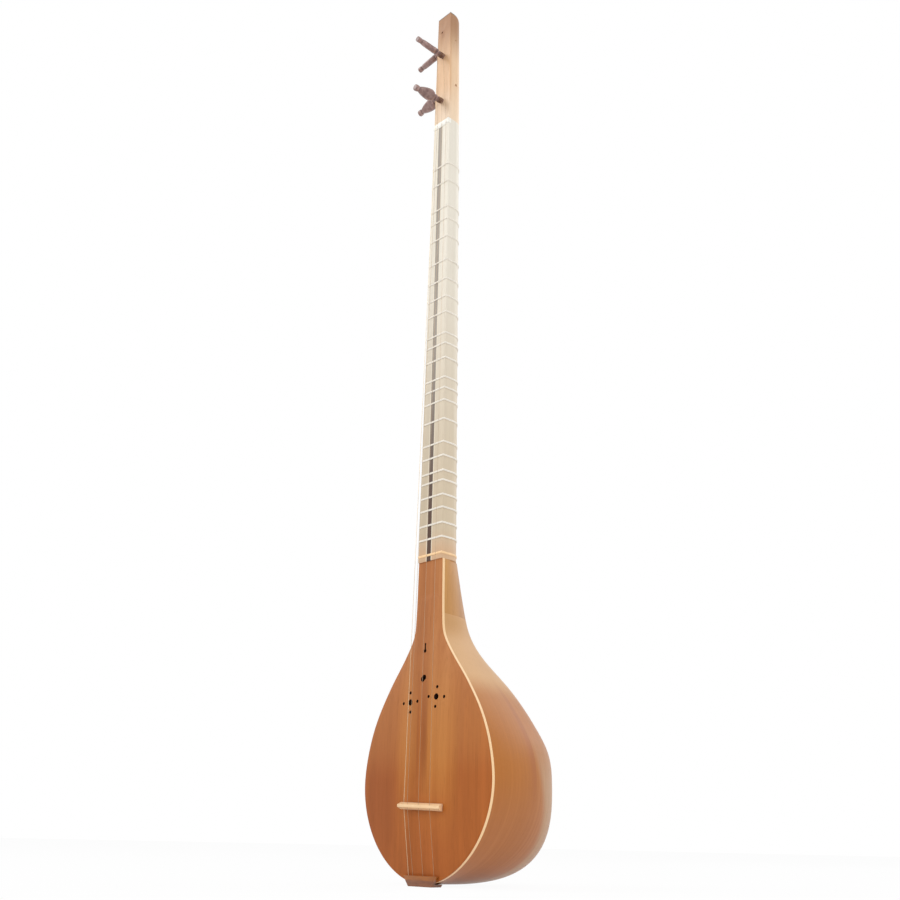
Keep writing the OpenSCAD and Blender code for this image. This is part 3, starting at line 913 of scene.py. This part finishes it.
class LUTE_OT_soundboard(LutePiece, bpy.types.Operator):
    """Arch the soundboard, drill its holes and let in its edge binding"""

    bl_idname = "lute.soundboard"
    bl_label = "Soundboard"

    def execute(self, context):
        steps = 44
        ease = 0.35
        rings = []
        for z in heights(40, 84, JOINT_Z):
            edge = half_width(z)
            inset = inset_half_width(z)
            front = [mix(-edge + ease, edge - ease, j / steps) for j in range(steps + 1)]
            back = [mix(inset, -inset, j / 10) for j in range(11)]
            rings.append(
                [(-edge, LIP_THICK, z), (-edge, ease, z), (-edge + 0.1, 0.1, z)]
                + [(x, -rise(z, x), z) for x in front]
                + [(edge - 0.1, 0.1, z), (edge, ease, z), (edge, LIP_THICK, z), (inset, LIP_THICK, z)]
                + [(x, BOARD_THICK - rise(z, x), z) for x in back] + [(-inset, LIP_THICK, z)]
            )
        piece = bend_grid("soundboard_skin", rings)
        cover(piece, soundboard_wood(self.colours))
        self.drill(piece)
        settle(piece, "soundboard_wood", ROOT_BODY, "soundboard")
        self.bind()
        return {"FINISHED"}

    def bind(self):
        """Let a pale strip with eased corners into the rebate on each side."""
        material = plain_wood("binding_wood", self.colours.binding, 0.3, 0.4)
        for side, node in ((-1, "binding_left"), (1, "binding_right")):
            rings = []
            for z in heights(44, 90, JOINT_Z):
                edge = side * half_width(z)
                inset = side * inset_half_width(z)
                ease = side * 0.04
                rings.append([
                    (edge - ease, LIP_THICK, z), (edge, LIP_THICK + 0.3, z), (edge, RIM_Y - 0.3, z),
                    (edge - ease, RIM_Y, z), (inset, RIM_Y, z), (inset, LIP_THICK, z),
                ])
            strip = bend_grid(f"{node}_strip", rings)
            finish_piece(strip, material, "binding", ROOT_BODY, node)

    def drill(self, piece):
        """Cut the sound holes with round and slotted cutters, which leave their walls painted dark as shade.
        """
        # Painted shade: the walls of the holes take a near-black wood
        hole_shade = plain_wood("hole_wall_shade", tone(58, 32, 22), 0.5, 0.6, 0)
        holes = [(x, z, TWIN_HOLE) for x, z in TWIN_HOLES] + [(0, z, d) for z, d in DROP_HOLES]
        across, up = FLOWER_REACH
        for x, z, turn in FLOWERS:
            holes.append((x, z, LARGE_HOLE))
            for q in range(4):
                a = math.radians(90 * q + turn)
                holes.append((x + across * math.cos(a), z + up * math.sin(a), SMALL_HOLE))
        through = 20 * MM
        cutters = []
        for x, z, d in holes:
            deselect()
            bpy.ops.mesh.primitive_cylinder_add(
                vertices=28, radius=d / 2 * MM, depth=through, location=(x * MM, 0, z * MM),
                rotation=(math.radians(90), 0, 0),
            )
            cutters.append(bpy.context.object)
        deselect()
        low, high = (z for z, d in DROP_HOLES)
        bpy.ops.mesh.primitive_cube_add(
            size=1, location=(0, 0, (low + high) / 2 * MM),
            scale=(SLOT_WIDTH * MM, through, (high - low) * MM),
        )
        cutters.append(bpy.context.object)
        for cutter in cutters:
            cutter.data.materials.append(hole_shade)
            activate(piece)
            cut = piece.modifiers.new("hole", "BOOLEAN")
            cut.operation = "DIFFERENCE"
            cut.solver = "EXACT"
            cut.material_mode = "TRANSFER"
            cut.object = cutter
            bpy.ops.object.modifier_apply(modifier=cut.name)
            bpy.data.objects.remove(cutter)
        smooth(piece)


class LUTE_OT_neck(LutePiece, bpy.types.Operator):
    """Shape the neck and its pale ring and colour the strips of the fingerboard"""

    bl_idname = "lute.neck"
    bl_label = "Neck"

    def execute(self, context):
        rings = []
        for i in range(41):
            z = mix(JOINT_Z, HEAD_Z, i / 40)
            half = neck_half(z)
            centre = FRONT_Y + neck_side(z)
            arc = [math.pi * j / 48 for j in range(49)]
            rings.append([(-half, CORE_Y, z), (half, CORE_Y, z)]
                         + [(half * math.cos(t), centre + half * math.sin(t), z) for t in arc])
        piece = bend_grid("neck_skin", rings)
        finish_piece(piece, neck_wood(self.colours, "neck_wood"), "neck_wood", ROOT_BODY, "neck")
        self.ring()
        dress("fingerboard_left", neck_wood(self.colours, "fingerboard_wood_left", 0.12))
        dress("fingerboard_right", neck_wood(self.colours, "fingerboard_wood_right", 0.03))
        dress("centre_strip", strip_wood())
        dress("centre_lines", plain_wood("line_wood", tone(238, 226, 204), 0.3, 0.45, 0.1))
        return {"FINISHED"}

    def ring(self):
        """The pale ring, gently crowned across its width."""
        crown = ((-1, 0.05), (-0.95, 0.4), (-0.6, 0.58), (0, 0.62), (0.6, 0.58), (0.95, 0.4), (1, 0.05))
        inside = ((1, -0.4), (0, -0.4), (-1, -0.4))
        rings = [[(x, y, RING_Z + up) for x, y in neck_outline(RING_Z, grow)] for up, grow in crown + inside]
        rings.append(rings[0])
        piece = bend_grid("neck_ring_band", rings, ends=False)
        material = plain_wood("ring_wood", self.colours.binding, 0.3, 0.4)
        finish_piece(piece, material, "binding", ROOT_BODY, "neck_ring")


class LUTE_OT_head(LutePiece, bpy.types.Operator):
    """Ease the peg head's edges and darken its cap"""

    bl_idname = "lute.head"
    bl_label = "Peg head"

    def execute(self, context):
        head = copy_node("peg_head", "peg_head_skin", 0.7, 3)
        finish_piece(head, head_wood(self.colours), "head_wood", ROOT_BODY, "peg_head")
        cap = copy_node("head_cap", "head_cap_skin")
        finish_piece(cap, plain_wood("cap_wood", tone(92, 86, 76), 0.8), "cap", ROOT_BODY, "head_cap")
        return {"FINISHED"}


class LUTE_OT_fittings(LutePiece, bpy.types.Operator):
    """Ease the bridge, the nut and the tailpiece"""

    bl_idname = "lute.fittings"
    bl_label = "Bridge, nut and tailpiece"

    def execute(self, context):
        for node, material, slot, bevel, segments in (
            ("bridge", bridge_wood, "bridge_wood", 0.35, 3),
            ("nut", bone, "nut_bone", 0.15, 2),
            ("tailpiece", tailpiece_wood, "tailpiece", 0.4, 3),
        ):
            piece = copy_node(node, f"{node}_skin", bevel, segments)
            finish_piece(piece, material(), slot, ROOT_BODY, node)
        return {"FINISHED"}


class LUTE_OT_pegs(LutePiece, bpy.types.Operator):
    """Turn and flatten the four pegs and wind the strings' ends on them"""

    bl_idname = "lute.pegs"
    bl_label = "Pegs"

    def profile(self, tip, reach):
        """Distance along the peg, radius and how far the flattening has come in."""
        rows = [(-reach, 0, 0), (-reach, SHAFT_RADIUS - 0.25, 0), (-reach + 0.3, SHAFT_RADIUS, 0)]
        rows += [(0, SHAFT_RADIUS, 0)] + [(place, radius, 0) for place, radius in PEG_BEADS]
        rows.append((LEAF_ROOT - 0.15, 2.7, 0.2))
        block = tip - BLOCK_LENGTH
        for j in range(27):
            t = mix(0.02, 0.985, j / 26)
            rows.append((mix(LEAF_ROOT, block, t), leaf_radius(t), min(1, 0.3 + j / 6)))
        rows += [(block + 0.1, 2.15, 1), (block + 0.5, 2.4, 1), (block + 0.9, 3.05, 1)]
        for j in range(9):
            a = math.radians(90 * j / 8)
            along = tip - BLOCK_ROUNDING * (1 - math.sin(a))
            rows.append((along, BLOCK_RADIUS - BLOCK_ROUNDING * (1 - math.cos(a)), 1))
        rows.append((tip, 0, 1))
        return rows

    def carve(self, peg, turned):
        """The peg's skin, round along its shaft and flattened evenly towards its leaf."""
        half = head_half(peg["height"])
        deep = HEAD_SIDE_TOP + half - PEG_FLOOR if peg["front"] else 2 * half - PEG_EXIT
        rings = []
        for along, radius, flat in self.profile(peg["tip"], deep / math.cos(peg["slant"])):
            ring = []
            for j in range(48):
                a = 2 * math.pi * j / 48
                y = radius * math.sin(a)
                thin = y / (1 + (abs(y) / LEAF_HALF_THICK) ** 5) ** 0.2
                ring.append(turned @ Vector((radius * math.cos(a), mix(y, thin, flat), along)))
            rings.append(ring)
        return bend_grid(f"{peg['name']}_carved", rings, ends=False)

    def execute(self, context):
        material = peg_wood()
        metal = string_metal("winding_wire", tone(160, 124, 100), 0.42)
        for number, peg in enumerate(PEGS, 1):
            place = peg_place(peg)
            piece = self.carve(peg, place @ Matrix.Rotation(math.radians(peg["turn"]), 4, "Z"))
            finish_piece(piece, material, "peg_wood", peg["name"], peg["name"])
            turns = []
            for j in range(32 * WIND_TURNS + 1):
                a = 2 * math.pi * j / 32
                along = WIND_START + WIND_PITCH * j / 32
                turns.append(place @ Vector((WIND_RADIUS * math.cos(a), WIND_RADIUS * math.sin(a), along)))
            coil = wire(f"winding_{number}_coil", turns, WIND_DIAMETER / 2)
            finish_piece(coil, metal, "string_wire", peg["name"], f"winding_{number}")
        return {"FINISHED"}


class LUTE_OT_frets(LutePiece, bpy.types.Operator):
    """Tie the gut frets round the neck, each with its knot on the bass edge"""

    bl_idname = "lute.frets"
    bl_label = "Frets"

    def execute(self, context):
        gauge = self.sizes.gut_diameter / MM
        turns = self.sizes.gut_turns
        material = gut(self.colours)
        knot_material = gut(self.colours, "gut_knot", 0.42)
        for number, cents in enumerate(FRET_CENTS, 1):
            node = f"fret_{number:02d}"
            z = fret_height(cents)
            outline = neck_outline(z, GUT_PLAY + gauge / 2)
            path = []
            for j in range(turns * len(outline) + 1):
                x, y = outline[(TURNS_START + j) % len(outline)]
                path.append((x, y, z + gauge * (j / len(outline) - turns / 2)))
            coil = wire(f"{node}_turns", path, gauge / 2, sides=1)
            cover(coil, material)
            knots = self.knot(z, gauge, gauge * (turns / 2 + 0.35))
            for knot in knots:
                cover(knot, knot_material)
            settle(join([coil] + knots, f"{node}_gut"), "gut", node, node)
        return {"FINISHED"}

    def knot(self, z, gauge, reach):
        """The loop that holds a fret's turns together on the bass edge, and the end that hangs from it."""
        edge = -neck_half(z) - GUT_PLAY - gauge
        loop = []
        for j in range(13):
            a = math.pi * (j / 12 - 0.5)
            loop.append((edge - 0.28 * math.cos(a), 1.0 + 0.25 * math.sin(2 * a), z + reach * math.sin(a)))
        end = [(edge - 0.2, 0.9, z + reach * 0.2), (edge - 0.5, 1.5, z - reach * 0.1),
               (edge - 0.4, 2.4, z - reach * 0.5), (edge - 0.25, 3.2, z - reach * 0.9)]
        return [wire("bridle", loop, gauge * 0.42, sides=1), wire("tail", end, gauge * 0.36, sides=1)]


class LUTE_OT_strings(LutePiece, bpy.types.Operator):
    """Stretch the four strings from the tailpiece over the bridge and nut to their pegs"""

    bl_idname = "lute.strings"
    bl_label = "Strings"

    def route(self, number):
        """From the tailpiece over the bridge's crest and the nut's crown to the first turn on the peg."""
        tail, bridge, nut = STRING_X[number]
        points = [(tail, TAIL_Y, 3), (tail, TAIL_Y, TAIL_LIP_Z + 0.6),
                  (bridge, CREST_Y, BRIDGE_Z - bridge * math.tan(BRIDGE_SKEW)), (nut, CROWN_Y, NUT_Z)]
        peg = PEGS[number]
        beside = WIND_RADIUS + WIND_DIAMETER / 2 + STRING_CLEARANCE
        if peg["front"]:
            out = WIND_START + 1.4
            y = FRONT_Y - out * math.cos(peg["slant"])
            return points + [(peg["across"] + beside, y, peg["height"] - out * math.sin(peg["slant"]))]
        face = side_face(peg)
        corner = (face.x - 0.35, FRONT_Y - 0.3, peg["height"] - 11)
        return points + [corner, (face.x - 3.2, peg["across"] - beside, face.z - 0.6)]

    def execute(self, context):
        plain = string_metal("string_wire", tone(188, 164, 136), 0.45)
        bass = string_metal("bass_wire", tone(236, 216, 180), 0.4, wound=True)
        strings = [(self.sizes.string_diameter, plain)] * 3 + [(self.sizes.bass_diameter, bass)]
        for number, (thick, metal) in enumerate(strings):
            node = f"string_{number + 1}"
            piece = wire(f"{node}_wire", self.route(number), thick / 2 / MM)
            finish_piece(piece, metal, "string_wire", ROOT_BODY, node)
        return {"FINISHED"}


# ---- stage ---------------------------------------------------------------------------------------

class LUTE_OT_stage(LutePiece, bpy.types.Operator):
    """Set the pale floor, the soft lamps, the white background and the camera"""

    bl_idname = "lute.stage"
    bl_label = "Stage"

    def execute(self, context):
        self.floor()
        self.world()
        self.lamps()
        self.camera()
        return {"FINISHED"}

    def floor(self):
        deselect()
        bpy.ops.mesh.primitive_plane_add(size=30, location=(0, 0, 0))
        floor = bpy.context.object
        floor.name = "floor"
        finish = Finish("floor_paper", 0.9)
        grain = finish.noise((300, 300, 300), 2, 0.5)
        colour = finish.ramp(grain, (0.3, (0.88, 0.88, 0.88, 1)), (0.7, (0.92, 0.92, 0.92, 1)))
        finish.set("Base Color", colour)
        finish.set("Specular IOR Level", 0)
        body = Level(finish, finish.shader.outputs["BSDF"])
        glow = finish.node("ShaderNodeEmission", {}, {"Color": (1, 1, 1, 1), "Strength": 1})
        white = finish.direct() * 0.95
        mixed = finish.node("ShaderNodeMixShader", {}, {0: white, 1: body, 2: glow})
        finish.feed(finish.tree.nodes["Material Output"].inputs["Surface"], mixed)
        cover(floor, finish.material)

    def world(self):
        world = bpy.data.worlds.new("studio")
        bpy.context.scene.world = world
        world.use_nodes = True
        sky = Nodes(world.node_tree)
        strength = sky.node("ShaderNodeMapRange", {}, {"Value": sky.direct(), "To Min": 0.62, "To Max": 1})
        background = sky.tree.nodes["Background"]
        sky.feed(background.inputs["Color"], (1, 1, 1, 1))
        sky.feed(background.inputs["Strength"], strength)

    def lamps(self):
        """Three square lamps round the instrument, all aimed at its middle."""
        middle = Vector((0, 0.03, 0.35))
        for name, place, size, power in (
            ("key", (-0.9, -1.6, 1.7), 1.2, 17),
            ("fill", (1.7, -0.7, 1.0), 1.4, 9),
            ("back", (0.4, 1.8, 1.4), 1.4, 9),
        ):
            deselect()
            bpy.ops.object.light_add(type="AREA", location=place)
            lamp = bpy.context.object
            lamp.name = name
            lamp.data.size = size
            lamp.data.energy = power
            lamp.rotation_euler = (middle - Vector(place)).to_track_quat("-Z", "Y").to_euler()

    def camera(self):
        deselect()
        bpy.ops.object.camera_add()
        camera = bpy.context.object
        camera.name = "camera"
        right = Vector(CAMERA_RIGHT)
        up = Vector(CAMERA_UP)
        turn = Matrix((right, up, right.cross(up))).transposed()
        camera.matrix_world = Matrix.Translation(CAMERA_PLACE) @ turn.to_4x4()
        camera.data.sensor_width = SENSOR_WIDTH
        camera.data.lens = FOCAL_LENGTH
        camera.data.clip_start = 0.01
        bpy.context.scene.camera = camera
        bpy.context.scene.view_settings.view_transform = "Standard"


class LUTE_PT_panel(bpy.types.Panel):
    """Lists the pieces of the lute"""

    bl_idname = "LUTE_PT_panel"
    bl_label = "Long-necked Lute"
    bl_space_type = "VIEW_3D"
    bl_region_type = "UI"
    bl_category = "Lute"

    def draw(self, context):
        column = self.layout.column()
        for operator in OPERATORS:
            column.operator(operator.bl_idname)
        for group in (context.scene.lute_sizes, context.scene.lute_colours):
            for name in group.bl_rna.properties.keys():
                if name not in {"rna_type", "name"}:
                    column.prop(group, name)


OPERATORS = (
    LUTE_OT_bowl, LUTE_OT_soundboard, LUTE_OT_neck, LUTE_OT_head, LUTE_OT_fittings,
    LUTE_OT_pegs, LUTE_OT_frets, LUTE_OT_strings, LUTE_OT_stage,
)
CLASSES = (LuteSizes, LuteColours) + OPERATORS + (LUTE_PT_panel,)


def register():
    for cls in CLASSES:
        bpy.utils.register_class(cls)
    bpy.types.Scene.lute_sizes = bpy.props.PointerProperty(type=LuteSizes)
    bpy.types.Scene.lute_colours = bpy.props.PointerProperty(type=LuteColours)


def unregister():
    del bpy.types.Scene.lute_colours
    del bpy.types.Scene.lute_sizes
    for cls in reversed(CLASSES):
        bpy.utils.unregister_class(cls)


def main():
    register()
    bpy.ops.lute.stage()
    bpy.ops.lute.bowl()
    bpy.ops.lute.soundboard()
    bpy.ops.lute.neck()
    bpy.ops.lute.head()
    bpy.ops.lute.fittings()
    bpy.ops.lute.pegs()
    bpy.ops.lute.frets()
    bpy.ops.lute.strings()


if __name__ == "__main__":
    main()
